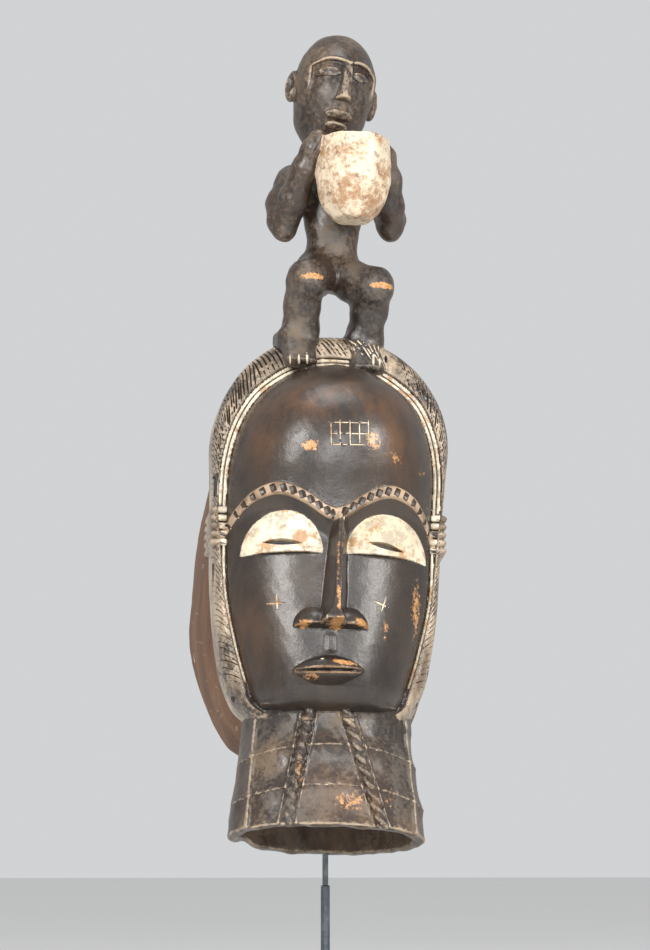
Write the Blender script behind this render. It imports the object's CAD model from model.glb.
# %% [markdown]
# # A carved mask with a cup bearer on its crown
#
# The real object is one block of dark, oiled wood: a long oval face, a rolled coiffure, a ringed neck
# and a squatting figure that lifts a cup. It hangs on a thin steel rod. This lesson starts from the
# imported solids, which fix every size, and gives them their carving and their finish.

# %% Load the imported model
import math

import bpy
import numpy as np
from mathutils import Matrix, Vector


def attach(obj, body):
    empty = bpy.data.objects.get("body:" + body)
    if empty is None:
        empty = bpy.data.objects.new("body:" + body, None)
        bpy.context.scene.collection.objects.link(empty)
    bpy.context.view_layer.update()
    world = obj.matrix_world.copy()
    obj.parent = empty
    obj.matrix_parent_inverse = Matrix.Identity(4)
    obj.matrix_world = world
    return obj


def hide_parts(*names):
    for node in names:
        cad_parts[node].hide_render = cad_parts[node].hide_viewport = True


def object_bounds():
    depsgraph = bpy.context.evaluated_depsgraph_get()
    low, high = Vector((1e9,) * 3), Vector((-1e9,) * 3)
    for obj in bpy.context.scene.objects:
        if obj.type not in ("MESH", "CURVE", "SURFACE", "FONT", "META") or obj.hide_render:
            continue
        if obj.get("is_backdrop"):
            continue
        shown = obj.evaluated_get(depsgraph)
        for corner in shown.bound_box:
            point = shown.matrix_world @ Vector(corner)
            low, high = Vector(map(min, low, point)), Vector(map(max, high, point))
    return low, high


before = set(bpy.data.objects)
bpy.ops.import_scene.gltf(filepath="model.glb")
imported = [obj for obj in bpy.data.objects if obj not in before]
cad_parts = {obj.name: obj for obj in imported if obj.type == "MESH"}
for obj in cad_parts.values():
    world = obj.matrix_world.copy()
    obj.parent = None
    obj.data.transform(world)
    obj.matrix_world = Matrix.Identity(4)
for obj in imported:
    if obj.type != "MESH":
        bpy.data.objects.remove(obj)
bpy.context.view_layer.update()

# %% [markdown]
# ## Camera
#
# The photograph looks slightly up at the mask and a little from its right cheek. A long lens far away
# keeps the proportions calm. The middle of the neck's rim lies at a known pixel, so the camera is placed
# from that one point, from two angles and from the size of a pixel at the mask.

# %% Camera
PIXEL = 0.0006
IMAGE_WIDTH, IMAGE_HEIGHT = 650, 950
NECK_PIXEL = (326, 841)
AZIMUTH, ELEVATION = math.radians(-7.5), math.radians(-3)
DISTANCE = 4.0
NECK_FOOT = Vector((-0.0085, -0.06767, 0.11915))

look = Vector((-math.sin(AZIMUTH) * math.cos(ELEVATION), math.cos(AZIMUTH) * math.cos(ELEVATION),
               -math.sin(ELEVATION)))
right = look.cross(Vector((0, 0, 1))).normalized()
up = right.cross(look)
aim = (NECK_FOOT + up * (NECK_PIXEL[1] - IMAGE_HEIGHT / 2) * PIXEL
       - right * (NECK_PIXEL[0] - IMAGE_WIDTH / 2) * PIXEL)
camera_data = bpy.data.cameras.new("camera")
camera_data.sensor_width = 36
camera_data.lens = 36 * DISTANCE / (IMAGE_HEIGHT * PIXEL)
camera = bpy.data.objects.new("camera", camera_data)
camera.location = aim - look * DISTANCE
camera.rotation_euler = look.to_track_quat("-Z", "Y").to_euler()
bpy.context.scene.collection.objects.link(camera)
bpy.context.scene.camera = camera
print("camera lens", round(camera_data.lens, 1), "mm")

# %% [markdown]
# ## Measures of the mask
#
# Everything on the mask is written in millimetres in the mask's own frame: x to the right, d forwards
# out of the face, z up from the neck's rim. The outlines and depths are those of the solids. A curve
# through a few points stands for each of them, so the carving can be shaped on top of the same form.

# %% Smooth curves through measured points
MASK_PLACE = (Matrix.Translation(NECK_FOOT) @ Matrix.Rotation(math.radians(-12), 4, "X")
              @ Matrix.Rotation(math.radians(2.1), 4, "Y"))
CHIN, HEAD_HEIGHT, HALF_WIDTH = 68.0, 245.0, 73.0
HEAD_CENTRE = CHIN + HEAD_HEIGHT / 2
CROWN = CHIN + HEAD_HEIGHT
HAIRLINE, FOREHEAD, CHEEK = 18.0, 49.0, 34.0
SIDE_WALL, FACE_WALL, CROWN_WALL = 8.0, 12.0, 12.0
BACK_DEPTH, HAIR_DEPTH = 88.0, 24.0


def curve(pairs, samples=600):
    """A smooth curve through (position, value) pairs, as a fast table."""
    place = np.array([p for p, _ in pairs], float)
    value = np.array([v for _, v in pairs], float)
    slope = np.empty_like(value)
    slope[1:-1] = (value[2:] - value[:-2]) / (place[2:] - place[:-2])
    slope[0] = (value[1] - value[0]) / (place[1] - place[0])
    slope[-1] = (value[-1] - value[-2]) / (place[-1] - place[-2])
    table = np.linspace(place[0], place[-1], samples)
    k = np.clip(np.searchsorted(place, table, side="right") - 1, 0, len(place) - 2)
    span = place[k + 1] - place[k]
    u = (table - place[k]) / span
    ease = u * u * (3 - 2 * u)
    values = (value[k] + (value[k + 1] - value[k]) * ease
              + span * (slope[k] * u * (1 - u) ** 2 - slope[k + 1] * u * u * (1 - u)))
    return lambda t: np.interp(t, table, values)


def outline(half, samples=24):
    """Distance of a closed outline from the head's centre, by angle above x."""
    right_half = [(x * HALF_WIDTH, CHIN + z * HEAD_HEIGHT - HEAD_CENTRE) for x, z in half]
    points = np.array(right_half + [(-x, z) for x, z in right_half[-2:0:-1]], float)
    p0, p1, p2, p3 = (np.roll(points, shift, 0)[:, None] for shift in (1, 0, -1, -2))
    t0, t1, t2 = (np.linalg.norm(b - a, axis=2, keepdims=True) ** 0.5
                  for a, b in ((p0, p1), (p1, p2), (p2, p3)))
    start = ((p1 - p0) / t0 - (p2 - p0) / (t0 + t1) + (p2 - p1) / t1) * t1
    end = ((p2 - p1) / t1 - (p3 - p1) / (t1 + t2) + (p3 - p2) / t2) * t1
    s = np.linspace(0, 1, samples, endpoint=False)[None, :, None]
    line = (p1 * (1 + s * s * (2 * s - 3)) + start * s * (1 - s) ** 2
            + p2 * s * s * (3 - 2 * s) - end * s * s * (1 - s)).reshape(-1, 2)
    angle = np.arctan2(line[:, 1], line[:, 0])
    order = np.argsort(angle)
    reach = np.hypot(line[:, 0], line[:, 1])
    return lambda a: np.interp(a, angle[order], reach[order], period=2 * math.pi)


HAIR_OUTLINE = [(0, 1), (0.3, 0.99), (0.53, 0.963), (0.74, 0.911), (0.859, 0.86), (0.937, 0.809),
                (0.995, 0.733), (0.98, 0.63), (0.96, 0.527), (0.952, 0.36), (0.903, 0.196),
                (0.83, 0.094), (0.712, 0.03), (0.5, 0), (0, -0.01)]
FACE_OUTLINE = [(0, 0.906), (0.275, 0.893), (0.49, 0.858), (0.66, 0.81), (0.785, 0.735),
                (0.848, 0.645), (0.856, 0.56), (0.852, 0.473), (0.835, 0.32), (0.75, 0.192),
                (0.665, 0.1), (0.6, 0.045), (0.45, 0.022), (0, 0.012)]
BACK_OUTLINE = [(0, 0.955), (0.342, 0.93), (0.575, 0.881), (0.753, 0.798), (0.858, 0.7), (0.945, 0.58),
                (1, 0.394), (1.02, 0.291), (0.99, 0.22), (0.925, 0.138), (0.8, 0.036), (0.68, -0.02),
                (0.5, -0.05), (0, -0.056)]
hair_radius, face_radius, back_radius = (outline(o) for o in (HAIR_OUTLINE, FACE_OUTLINE, BACK_OUTLINE))
face_half_width = curve([(CHIN + z * HEAD_HEIGHT, x * HALF_WIDTH) for x, z in reversed(FACE_OUTLINE)])
wander = curve([(HEAD_CENTRE, -3), (CHIN + 0.8 * HEAD_HEIGHT, 0)])
dome_profile = curve([(0.45, 0.8), (0.555, 0.9), (0.62, 0.97), (0.69, 1), (0.76, 0.94), (0.83, 0.74),
                      (0.88, 0.45), (0.905, 0.22), (0.919, 0)])
cheek_profile = curve([(-0.01, 0.84), (0.04, 0.98), (0.12, 1.05), (0.3, 1.02), (0.44, 1), (0.6, 1),
                       (0.8, 0.72), (0.88, 0.4), (0.919, 0)])
brow_profile = curve([(0, 0.472), (0.08, 0.48), (0.24, 0.511), (0.4, 0.533), (0.52, 0.537),
                      (0.68, 0.52), (0.8, 0.484), (0.87, 0.45), (1.2, 0.3)])
rim_depth = curve([(CHIN - 0.06 * HEAD_HEIGHT, 70), (CHIN + 0.05 * HEAD_HEIGHT, 75),
                   (CHIN + 0.22 * HEAD_HEIGHT, BACK_DEPTH)])
print("face", round(2 * float(face_radius(0)), 1), "mm wide, hair", round(2 * float(hair_radius(0)), 1))

# %% [markdown]
# ## The face as a relief
#
# A mask's front is a relief: over each point of the frontal plane it has one height. Forehead, sockets,
# lids, nose, lips, the fillet lines and the roll of hair are therefore drawn as one fine height map.
# Sculpting by hand would reach the same form, but a map keeps every feature on its measured place.

# %% Blends and bumps
def clip01(t):
    return np.clip(t, 0, 1)


def ease(t):
    t = clip01(t)
    return t * t * (3 - 2 * t)


def smooth_min(a, b, k):
    """The smaller of two, rounded over a width k."""
    h = np.maximum(k - np.abs(a - b), 0)
    return np.minimum(a, b) - h * h / (4 * k)


def smooth_max(a, b, k):
    return -smooth_min(-a, -b, k)


def bump(distance, half_width):
    """A soft ridge: 1 on its line, almost 0 beyond twice its half width."""
    return np.exp(-((distance / half_width) ** 2))


# %% The height of the bare face
EYE_SHIFT, NOSE_SHIFT, MOUTH_SHIFT = -3.4, -5.0, -6.0


def side_fall(x, z):
    half = np.maximum(face_half_width(np.maximum(z, CHIN + 0.04 * HEAD_HEIGHT)), 1)
    q = clip01(np.abs(x - wander(z)) / half)
    return (1 - q ** 2.4) ** 0.6


def cheek_height(x, z):
    return HAIRLINE + CHEEK * np.maximum(cheek_profile((z - CHIN) / HEAD_HEIGHT), 0) * side_fall(x, z)


def dome_height(x, z):
    return HAIRLINE + FOREHEAD * np.maximum(dome_profile((z - CHIN) / HEAD_HEIGHT), 0) * side_fall(x, z)


def brow_line(x):
    return CHIN + HEAD_HEIGHT * brow_profile(np.abs(x - EYE_SHIFT) / HALF_WIDTH)


BROW_WIDTH, BROW_RISE = 7.0, 2.3


def brows(x, z, height):
    """The forehead overhangs the sockets, and a raised band edges it."""
    low = brow_line(x)
    across = (z - low) / BROW_WIDTH
    reach = np.abs(x - EYE_SHIFT)
    ends = ease((0.88 * HALF_WIDTH - reach) / 6)
    band = BROW_RISE * ease(across / 0.1) * ease((1 - across) / 0.12)
    rails = 0.5 * (bump(across - 0.08, 0.09) + bump(across - 0.92, 0.09))
    return height + (band + rails) * ends


# %% Lids, nose and lips
LID_FOOT, LID_HEIGHT, SLIT_HEIGHT = CHIN + 0.396 * HEAD_HEIGHT, 26.0, CHIN + 0.419 * HEAD_HEIGHT


def lid_across(x):
    """Offset from the nearer lid's middle, and that lid's half width: the left one is smaller."""
    left = x < EYE_SHIFT
    return np.abs(x - EYE_SHIFT) - np.where(left, 30.5, 33.1), np.where(left, 23.9, 26.0)


def lid_distance(x, z):
    """Millimetres inside the nearer lid's outline, a half disc; negative outside."""
    dx, half = lid_across(x)
    dz = np.maximum(z - LID_FOOT, 0)
    round_part = 1 - np.hypot(dx / half, dz / LID_HEIGHT)
    return np.minimum(round_part * half, z - LID_FOOT)


def lids(x, z, height):
    dx, half = lid_across(x)
    dx, dz = dx / half, (z - LID_FOOT) / LID_HEIGHT
    swell = np.sqrt(np.maximum(1 - dx ** 2 - dz ** 2, 0))
    cheek = cheek_height(x, z)
    lid = cheek - 1.2 + 6.4 * swell
    lid = lid - 1.3 * bump(z - SLIT_HEIGHT, 2.6) * ease((0.62 - np.abs(dx)) / 0.3)
    lid = lid - 1.2 * ease((LID_FOOT + 3.0 - z) / 1.2)
    foot = ease((z - LID_FOOT + 0.9) / 0.9)
    raised = smooth_max(height, cheek - 4 + (lid - cheek + 4) * foot, 0.8)
    return np.where(swell > 0, raised, height)


NOSE_FOOT, NOSE_LENGTH, NOSE_HEIGHT = CHIN + 0.208 * HEAD_HEIGHT, 70.0, 22.0
nose_bridge = curve([(-0.02, 1.0), (0.02, 1.0), (0.12, 0.93), (0.35, 0.82), (0.7, 0.6), (1, 0.42)])
nose_ridge = curve([(0, 6.2), (0.05, 4.6), (0.13, 2.3), (0.35, 1.9), (0.7, 1.7), (1, 1.4)])
nose_flank = curve([(0, 9.4), (0.3, 8.8), (0.7, 7.6), (1, 7.2), (1.2, 9)])


def nose(x, z, height):
    share = (z - NOSE_FOOT) / NOSE_LENGTH
    middle = NOSE_SHIFT + 3.8 * clip01(share)
    across = np.abs(x - middle - 1.2 * ease(share * 4))
    ridge, flank = nose_ridge(share), nose_flank(share)
    fall = clip01((across - ridge) / (flank - ridge))
    base = float(cheek_height(0, NOSE_FOOT))
    top = base + NOSE_HEIGHT * nose_bridge(share)
    body = height - 3 + (top - height + 3) * (1 - fall) ** 1.35
    wing_x = (np.abs(x - NOSE_SHIFT) - 10.4) / 12.2
    wing_z = (z - NOSE_FOOT) / 12.5
    wing = height - 3 + 12 * np.sqrt(np.maximum(1 - wing_x ** 2 - wing_z ** 2, 0))
    foot = ease((z - NOSE_FOOT + 0.4) / 0.8)
    root = 1 - ease((share - 0.98) / 0.12)
    whole = smooth_max(body * root + (height - 3) * (1 - root), wing, 1.6)
    return height + np.maximum(whole - height, 0) * foot


MOUTH_HEIGHT_MM, MOUTH_HALF, MOUTH_TALL = CHIN + 0.1 * HEAD_HEIGHT, 21.0, 8.5
lip_profile = curve([(-1, 0.05), (-0.8, 0.72), (-0.5, 0.98), (-0.24, 0.86), (-0.14, 0.5), (-0.05, 0.86),
                     (0.12, 1), (0.2, 0.93), (0.5, 0.82), (0.78, 0.6), (1, 0.05)])


def mouth(x, z, height):
    s = (x - MOUTH_SHIFT) / MOUTH_HALF
    room = np.maximum(1 - s * s, 0)
    up_share = (z - MOUTH_HEIGHT_MM - 0.5 * s) / (MOUTH_TALL * np.maximum(room, 1e-4) ** 0.75)
    lips = 8 * room ** 0.5 * lip_profile(up_share)
    lips = np.where((np.abs(up_share) < 1) & (room > 0), lips, 0)
    furrow = 1.1 * bump(x - MOUTH_SHIFT - 1, 3) * ease((z - 102) / 4) * ease((117 - z) / 4)
    return height + lips - furrow


# %% Fillet, roll of hair and jaw
ROLL_POWER, ROLL_FRONT = 2.9, 4.2


def fillet_width(z):
    return 2.2 + 3.4 * ease((z - 150) / 60)


def edges(x, z, height, out, band):
    """Outside the face: two fine fillets, then the roll. out is millimetres outside the face."""
    above_ear = ease((z - 196) / 10)
    lines = bump(out - 1.3, 0.9) + above_ear * bump(out - 4.1, 0.9)
    fillet, trim = HAIRLINE + 2.0 + 1.5 * lines, fillet_width(z)
    u = clip01((out - trim) / np.maximum(band - trim, 1))
    roll = HAIRLINE - HAIR_DEPTH + (HAIR_DEPTH + ROLL_FRONT) * (1 - u ** ROLL_POWER) ** (1 / ROLL_POWER)
    outer = np.where(out < trim, fillet, roll)
    rounding = np.sqrt(np.maximum(1 - (1 - clip01(-out / 15)) ** 2, 0))
    jaw = 31 + 19 * rounding + 2 * np.maximum(z - CHIN - 16, 0)
    face = smooth_min(height, jaw, 5)
    return np.where(out < 0, face, outer)


# %% Draw the maps
MAP_STEP = 0.4
MAP_X = np.arange(-86, 86 + MAP_STEP, MAP_STEP)
MAP_Z = np.arange(44, 330, MAP_STEP)


def flat_distance(level):
    """Turns a level into a distance in the frontal plane, by its own slope."""
    gx, gz = np.gradient(level, MAP_STEP)
    return level / np.maximum(np.hypot(gx, gz), 0.3)


def soften(grid):
    for axis in (0, 1):
        grid = (np.roll(grid, 1, axis) + 2 * grid + np.roll(grid, -1, axis)) / 4
    return grid


gx, gz = np.meshgrid(MAP_X, MAP_Z, indexing="ij")
side_x, side_z = gx - wander(gz), gz - HEAD_CENTRE
around, reach = np.arctan2(side_z, side_x), np.hypot(side_x, side_z)
face_out = flat_distance(reach - face_radius(around))
hair_out = flat_distance(reach - hair_radius(around))
back_out = flat_distance(reach - back_radius(around))
wall = SIDE_WALL + (CROWN_WALL - SIDE_WALL) * np.maximum(np.sin(around), 0) ** 3

bare_cheek, bare_dome = cheek_height(gx, gz), dome_height(gx, gz)
under = clip01((brow_line(gx) - gz) / 13)
relief = bare_cheek + np.maximum(bare_dome - bare_cheek, 0) * (1 - under) ** 2.6
for carve in (brows, lids, nose, mouth):
    relief = carve(gx, gz, relief)
relief = soften(edges(gx, gz, relief, face_out, face_out - hair_out))
slope_x, slope_z = np.gradient(relief, MAP_STEP)
steep = 1 / np.sqrt(1 + slope_x ** 2 + slope_z ** 2)
LAYERS = [relief, steep, hair_out, back_out, wall, face_out, bare_cheek - FACE_WALL]
MAPS = np.stack(LAYERS, 2).astype(np.float32).reshape(-1, len(LAYERS))
print("relief", relief.shape, "points, highest", round(float(relief.max()), 1), "mm")


def read_maps(x, z):
    i = np.clip((x - MAP_X[0]) / MAP_STEP, 0, len(MAP_X) - 1.001)
    j = np.clip((z - MAP_Z[0]) / MAP_STEP, 0, len(MAP_Z) - 1.001)
    i0, j0 = i.astype(np.int32), j.astype(np.int32)
    fi, fj = (i - i0)[:, None].astype(np.float32), (j - j0)[:, None].astype(np.float32)
    at = i0 * len(MAP_Z) + j0
    low = MAPS[at] * (1 - fj) + MAPS[at + 1] * fj
    high = MAPS[at + len(MAP_Z)] * (1 - fj) + MAPS[at + len(MAP_Z) + 1] * fj
    return (low * (1 - fi) + high * fi).T


# %% [markdown]
# ## The body as one field
#
# One carved piece has no seams, so it is described as one field: negative in the wood, positive in the
# air. Fields join and blend with simple minima, which gives the soft hollows where a limb meets the
# trunk. A mesh of separate parts would show its joints; booleans of many meshes would be slow.

# %% The head with its shell and hollow
SHELL_BEND = -44
shell_share = curve([(-BACK_DEPTH, 1), (-49.6, 0.55), (-HAIR_DEPTH, 0)])
shell_inset = curve([(-BACK_DEPTH, 0), (-49.6, 0.5), (-HAIR_DEPTH, 3.5)])


def head_field(x, d, z):
    height, steepness, hair, back, thickness, face, inner = read_maps(x, z)
    depth = d - HAIRLINE
    front = smooth_max((d - height) * steepness, hair, 1.0)
    front = smooth_max(front, -HAIR_DEPTH - depth, 1.6)
    share = shell_share(depth)
    shell = (1 - share) * hair + share * back + shell_inset(depth)
    shell = smooth_max(shell, -rim_depth(z) - depth, 3.0)
    shell = np.maximum(shell, depth + 18)
    mid = clip01((-16 - depth) / 28)
    inside_front = (face + thickness - 1) * (1 - mid) + mid * ((hair + back) / 2 + thickness + 1.5)
    deep = clip01((SHELL_BEND - depth) / 30)
    inside = inside_front * (1 - deep) + deep * (back + thickness)
    hollow = smooth_max(inside, d - inner, 9.0)
    return np.minimum(front, shell), hollow


# %% The ringed neck
NECK_HEIGHT, NECK_HALF = 68.0, 59.5
neck_half = curve([(0, 1), (0.15, 0.985), (0.3, 0.965), (0.57, 0.912), (0.9, 0.867), (1.3, 0.85)])
neck_front = curve([(0, 44), (0.5, 39), (1, 36), (1.3, 30)])
neck_back = curve([(0, -44), (0.5, -46), (0.85, -52), (1.3, -60)])
NECK_POWER = 2 / 0.92
LOWER_RING, UPPER_RING, TOP_RING = 25.5, 50.5, 22


def braid_line(z):
    share = z / NECK_HEIGHT
    return 29 - 17 * share, -4 * share


def neck_field(x, d, z):
    share = np.clip(z / NECK_HEIGHT, -0.05, 1.3)
    width = neck_half(share) * NECK_HALF
    front, back = neck_front(share), neck_back(share)
    middle, half = (front + back) / 2, (front - back) / 2
    level = np.abs(x / width) ** NECK_POWER + np.abs((d - middle) / half) ** NECK_POWER
    level = level ** (1 / NECK_POWER)
    reach = np.hypot(x, d - middle)
    bare = reach * (1 - 1 / np.maximum(level, 0.05))
    ahead = ease((d - middle) / half / 0.35)
    arch = 0.0022 * x * x
    local = z + arch
    ring = np.where(local < UPPER_RING, (local - LOWER_RING) / (UPPER_RING - LOWER_RING),
                    (local - UPPER_RING) / TOP_RING)
    ring = np.where(local < LOWER_RING, local / LOWER_RING, ring)
    scoop = 1.9 * np.abs(2 * clip01(ring) - 1) ** 2.4 - 0.5 * clip01(ring)
    half_gap, sway = braid_line(z)
    to_braid = np.abs(np.abs(x - sway) - half_gap)
    rails = 0.9 * bump(to_braid - 5, 0.9)
    border = 46 + 6 * (1 - share)
    rails = rails + 1.8 * bump(np.abs(x) - border, 1.7)
    surface = bare - ahead * (scoop + rails)
    ragged = 0.35 * np.sin(0.19 * x + 1) + 0.2 * np.sin(0.47 * x + 0.3 * d)
    chip = 3.5 * bump(x + 47, 5) * ease(-d / 10)
    surface = smooth_max(np.maximum(surface, z - 86), 0.6 + ragged * 0.8 + chip - z, 1.4)
    bore = np.maximum(bare + SIDE_WALL, z - 76)
    return surface, bore


def braid_field(x, d, z):
    share = np.clip(z / NECK_HEIGHT, 0, 1.1)
    half_gap, sway = braid_line(z)
    side = np.where(x > sway, 1.0, -1.0)
    axis = sway + side * half_gap
    width = neck_half(share) * NECK_HALF
    front, back = neck_front(share), neck_back(share)
    middle, half = (front + back) / 2, (front - back) / 2
    lift = middle + half * (1 - np.abs(axis / width) ** NECK_POWER) ** (1 / NECK_POWER) + 0.6
    dx, dd = (x - axis) / 0.97, d - lift
    turn = np.arctan2(dd, dx)
    radius = 2.4 + 1.7 * np.abs(np.cos(turn - math.pi * z / 7.5))
    rope = (np.hypot(dx, dd) - radius) * 0.7
    return smooth_max(rope, np.maximum(z - 72, -z), 1.2)


# %% Ears
EAR_FOOT, EAR_HEIGHT, EAR_RIBS = CHIN + 0.435 * HEAD_HEIGHT, 25.0, 5


def ear_field(x, d, z):
    rib = np.abs(np.sin(math.pi * (z - EAR_FOOT) / (EAR_HEIGHT / EAR_RIBS))) ** 0.7
    side = np.abs(x - wander(z)) - 0.955 * HALF_WIDTH
    across = np.maximum(np.maximum(d - 20.5 - 2.6 * rib, -14 - d), -8.5 - side)
    tall = np.abs(z - EAR_FOOT - EAR_HEIGHT / 2) - EAR_HEIGHT / 2
    return smooth_max(smooth_max(side - 0.2 - 2.2 * rib, across, 2.5), tall, 1.2) * 0.8


# %% [markdown]
# ## The cup bearer
#
# The figure squats on the crown, its elbows out and a deep cup lifted to its chin. Its limbs are bones
# with a radius at each end, and the trunk and the skull are towers of ellipses. Blending them leaves
# the soft creases that a knife leaves, which a chain of separate cylinders would not.

# %% Bones and towers
FIGURE = (Matrix.Translation((-5, -5, CROWN - 5)) @ Matrix.Rotation(math.radians(0.7), 4, "Y")
          @ Matrix.Rotation(math.radians(11), 4, "Z"))
FIGURE_INVERSE = np.array(FIGURE.inverted(), np.float32)


def bone(p, a, b, scale=(1, 1, 1)):
    """A limb from a to b, each (x, y, z, radius)."""
    s = np.array(scale, np.float32)
    start, end = np.array(a[:3], np.float32) * s, np.array(b[:3], np.float32) * s
    along = end - start
    q = p * s - start
    t = clip01(q @ along / float(along @ along))
    return np.linalg.norm(q - t[:, None] * along, axis=1) - (a[3] + (b[3] - a[3]) * t)


def limb(p, stations, k=2.0, scale=(1, 1, 1)):
    whole = bone(p, stations[0], stations[1], scale)
    for a, b in zip(stations[1:-1], stations[2:]):
        whole = smooth_min(whole, bone(p, a, b, scale), k)
    return whole


def slab(p, a, b, power=3.2):
    """A flat limb from a to b, each (x, y, z, half width along x, half thickness)."""
    start, end = np.array(a[:3], np.float32), np.array(b[:3], np.float32)
    length = float(np.linalg.norm(end - start))
    along = (end - start) / length
    sideways = np.array((1, 0, 0), np.float32) - along[0] * along
    sideways /= np.linalg.norm(sideways)
    outwards = np.cross(along, sideways).astype(np.float32)
    q = p - start
    t = q @ along / length
    s = clip01(t)
    width, thick = a[3] + (b[3] - a[3]) * s, a[4] + (b[4] - a[4]) * s
    ring = (np.abs(q @ sideways / width) ** power + np.abs(q @ outwards / thick) ** power) ** (1 / power)
    return smooth_max((ring - 1) * thick, np.maximum(-t, t - 1) * length, 2.5)


def tower(p, rows, k=4.0):
    """Stacked ellipses: rows of (z, x, y, half width, half depth)."""
    z = p[:, 2]
    cx, cy, w, h = (curve([(r[0], r[i]) for r in rows])(z) for i in (1, 2, 3, 4))
    side = (np.hypot((p[:, 0] - cx) / w, (p[:, 1] - cy) / h) - 1) * np.minimum(w, h)
    return smooth_max(side, np.maximum(rows[0][0] - z, z - rows[-1][0]), k)


def knob(p, centre, radii):
    q = (p - np.array(centre, np.float32)) / np.array(radii, np.float32)
    return (np.linalg.norm(q, axis=1) - 1) * min(radii)


# %% Limbs, trunk and cup
TRUNK = [(34, 0, -6, 8, 7), (42, 1, -4, 19, 13), (48, 1, -3, 21, 14), (60, 2, -5, 16, 12.5),
         (74, 2, -6, 17.5, 13.5), (92, 2, -4, 22, 14), (104, 2, -2, 25, 13), (112, 2, -1, 18, 11),
         (118, 1, -2, 12, 11), (134, 0, -6, 11, 11)]
CUP_PLACE, CUP_HEIGHT = (3, -42, 68), 51
cup_outside = curve([(0, 11), (1.5, 12.6), (7, 17.4), (16, 21.2), (27, 22.7), (39, 22.2), (51, 21.3)])
cup_inside = curve([(11, 9), (22, 14), (38, 16.4), (56, 17.2)])


def cup_field(p):
    q = p - np.array(CUP_PLACE, np.float32)
    ring, z = np.hypot(q[:, 0], q[:, 1]), q[:, 2]
    facets = 0.4 * np.cos(7 * np.arctan2(q[:, 0], q[:, 1]) + 0.05 * z) * ease(z / 12)
    body = smooth_max((ring - cup_outside(z) + facets) * 0.85, np.maximum(-z, z - CUP_HEIGHT), 1.2)
    inside = smooth_max(ring - cup_inside(z), 12 - z, 5.0)
    return body, np.maximum(inside, z - CUP_HEIGHT - 1)


def limbs_field(p):
    whole = tower(p, TRUNK)
    for s in (-1, 1):
        lift, wide = 4 + 4 * s, s - 1
        knee = 1.5 + s * 21.5
        thigh = limb(p, [(1 + s * 6, -6, 45, 13), (1 + s * 13, -14, 38, 12.5), (knee, -27, 33, 11.6),
                         (knee, -30, 30, 10)], 3.0)
        shin = limb(p, [(s * (22 + wide), -7, -6, 10.6), (1 + s * (21.5 + wide), -11, 6, 10.6),
                        (knee, -18, 20, 10.8), (knee, -23, 29, 10.8)], 4.0)
        foot = smooth_min(slab(p, (s * 21.5, 5, 1, 10, 6.5), (s * 21.5, -14, -3, 11, 6.5)),
                          slab(p, (s * 21.5, -11, 2, 11, 7.5), (s * 21.5, -23, -21, 10, 5)), 3.0)
        upper = limb(p, [(3 + s * 15, 1, 109, 9), (4 + s * 26, 0, 101, 10.5),
                         (4 + s * 33, -3, 86 + lift, 10), (4 + s * 35, -8, 74 + lift, 8.8),
                         (4 + s * 34, -10, 67 + lift, 7)], 4.0)
        fore = limb(p, [(4 + s * 34, -10, 70 + lift, 8), (3 + s * 31, -20, 84 + lift / 2, 8.6),
                        (2 + s * 27, -31, 100, 8), (1 + s * 23, -38, 112, 6.6),
                        (s * 20, -41, 119, 4.8)], 4.0)
        leg = smooth_min(thigh, shin, 5.0)
        arm = smooth_min(upper, fore, 2.0)
        whole = smooth_min(smooth_min(whole, smooth_min(leg, foot, 4.0), 3.5), arm, 3.0)
    return whole


# %% The small head
SKULL_FOOT, SKULL_TALL, SKULL_SHIFT = 120, 78, -2
SKULL_ROWS = [(0, 0.3, 2), (0.06, 0.55, 3), (0.2, 0.82, 3), (0.38, 0.95, 1), (0.5, 1, 0),
              (0.64, 0.98, 0), (0.78, 0.84, 1), (0.9, 0.58, 2), (0.985, 0.2, 3)]
SKULL = [(SKULL_FOOT + share * SKULL_TALL, SKULL_SHIFT, back - 12, 24.8 * size, 26 * size)
         for share, size, back in SKULL_ROWS]
HEAD_ROLL = np.array(Matrix.Rotation(math.radians(7), 3, "Y"), np.float32)
HEAD_PIVOT = np.array((0, -12, 150), np.float32)


def small_face(x, z):
    """Millimetres that the little face stands out of its skull, over its own frontal plane."""
    f, side = SKULL_FOOT, np.abs(x)
    brow = f + 48.5 + 3.4 * (1 - np.minimum(((side - 9) / 10) ** 2, 1.6))
    below = brow - z
    socket = 2.6 * ease(below / 1.4) * (1 - ease((below - 7) / 17))
    socket = socket * ease((side - 2.4) / 1.6) * ease((21 - side) / 3)
    brows = 0.8 * bump(below + 0.7, 1.1) * ease((18 - side) / 3)
    eye = np.sqrt(np.maximum(1 - ((side - 9.8) / 6.8) ** 2 - ((z - f - 43.5) / 3.4) ** 2, 0))
    up_nose = clip01((z - f - 27) / 22)
    half = 5.2 - 2.8 * up_nose ** 0.7
    nose = (5.6 - 4.0 * up_nose) * np.maximum(1 - (side / half) ** 2, 0) ** 0.6
    nose = nose * ease((z - f - 26) / 0.9) * (1 - ease((z - f - 50) / 4))
    upper = np.sqrt(np.maximum(1 - (x / 9) ** 2 - ((z - f - 18) / 3.0) ** 2, 0))
    lower = np.sqrt(np.maximum(1 - (x / 7.6) ** 2 - ((z - f - 11.6) / 2.6) ** 2, 0))
    gap = bump(z - f - 14.8, 1.0) * ease((6.5 - side) / 2)
    groove = bump(side - 5.4, 0.8) * ease((z - f - 19) / 2) * ease((27 - z + f) / 2)
    return brows - socket + 2.0 * eye + nose + 2.0 * upper + 2.0 * lower - 1.6 * gap - 0.6 * groove


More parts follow.
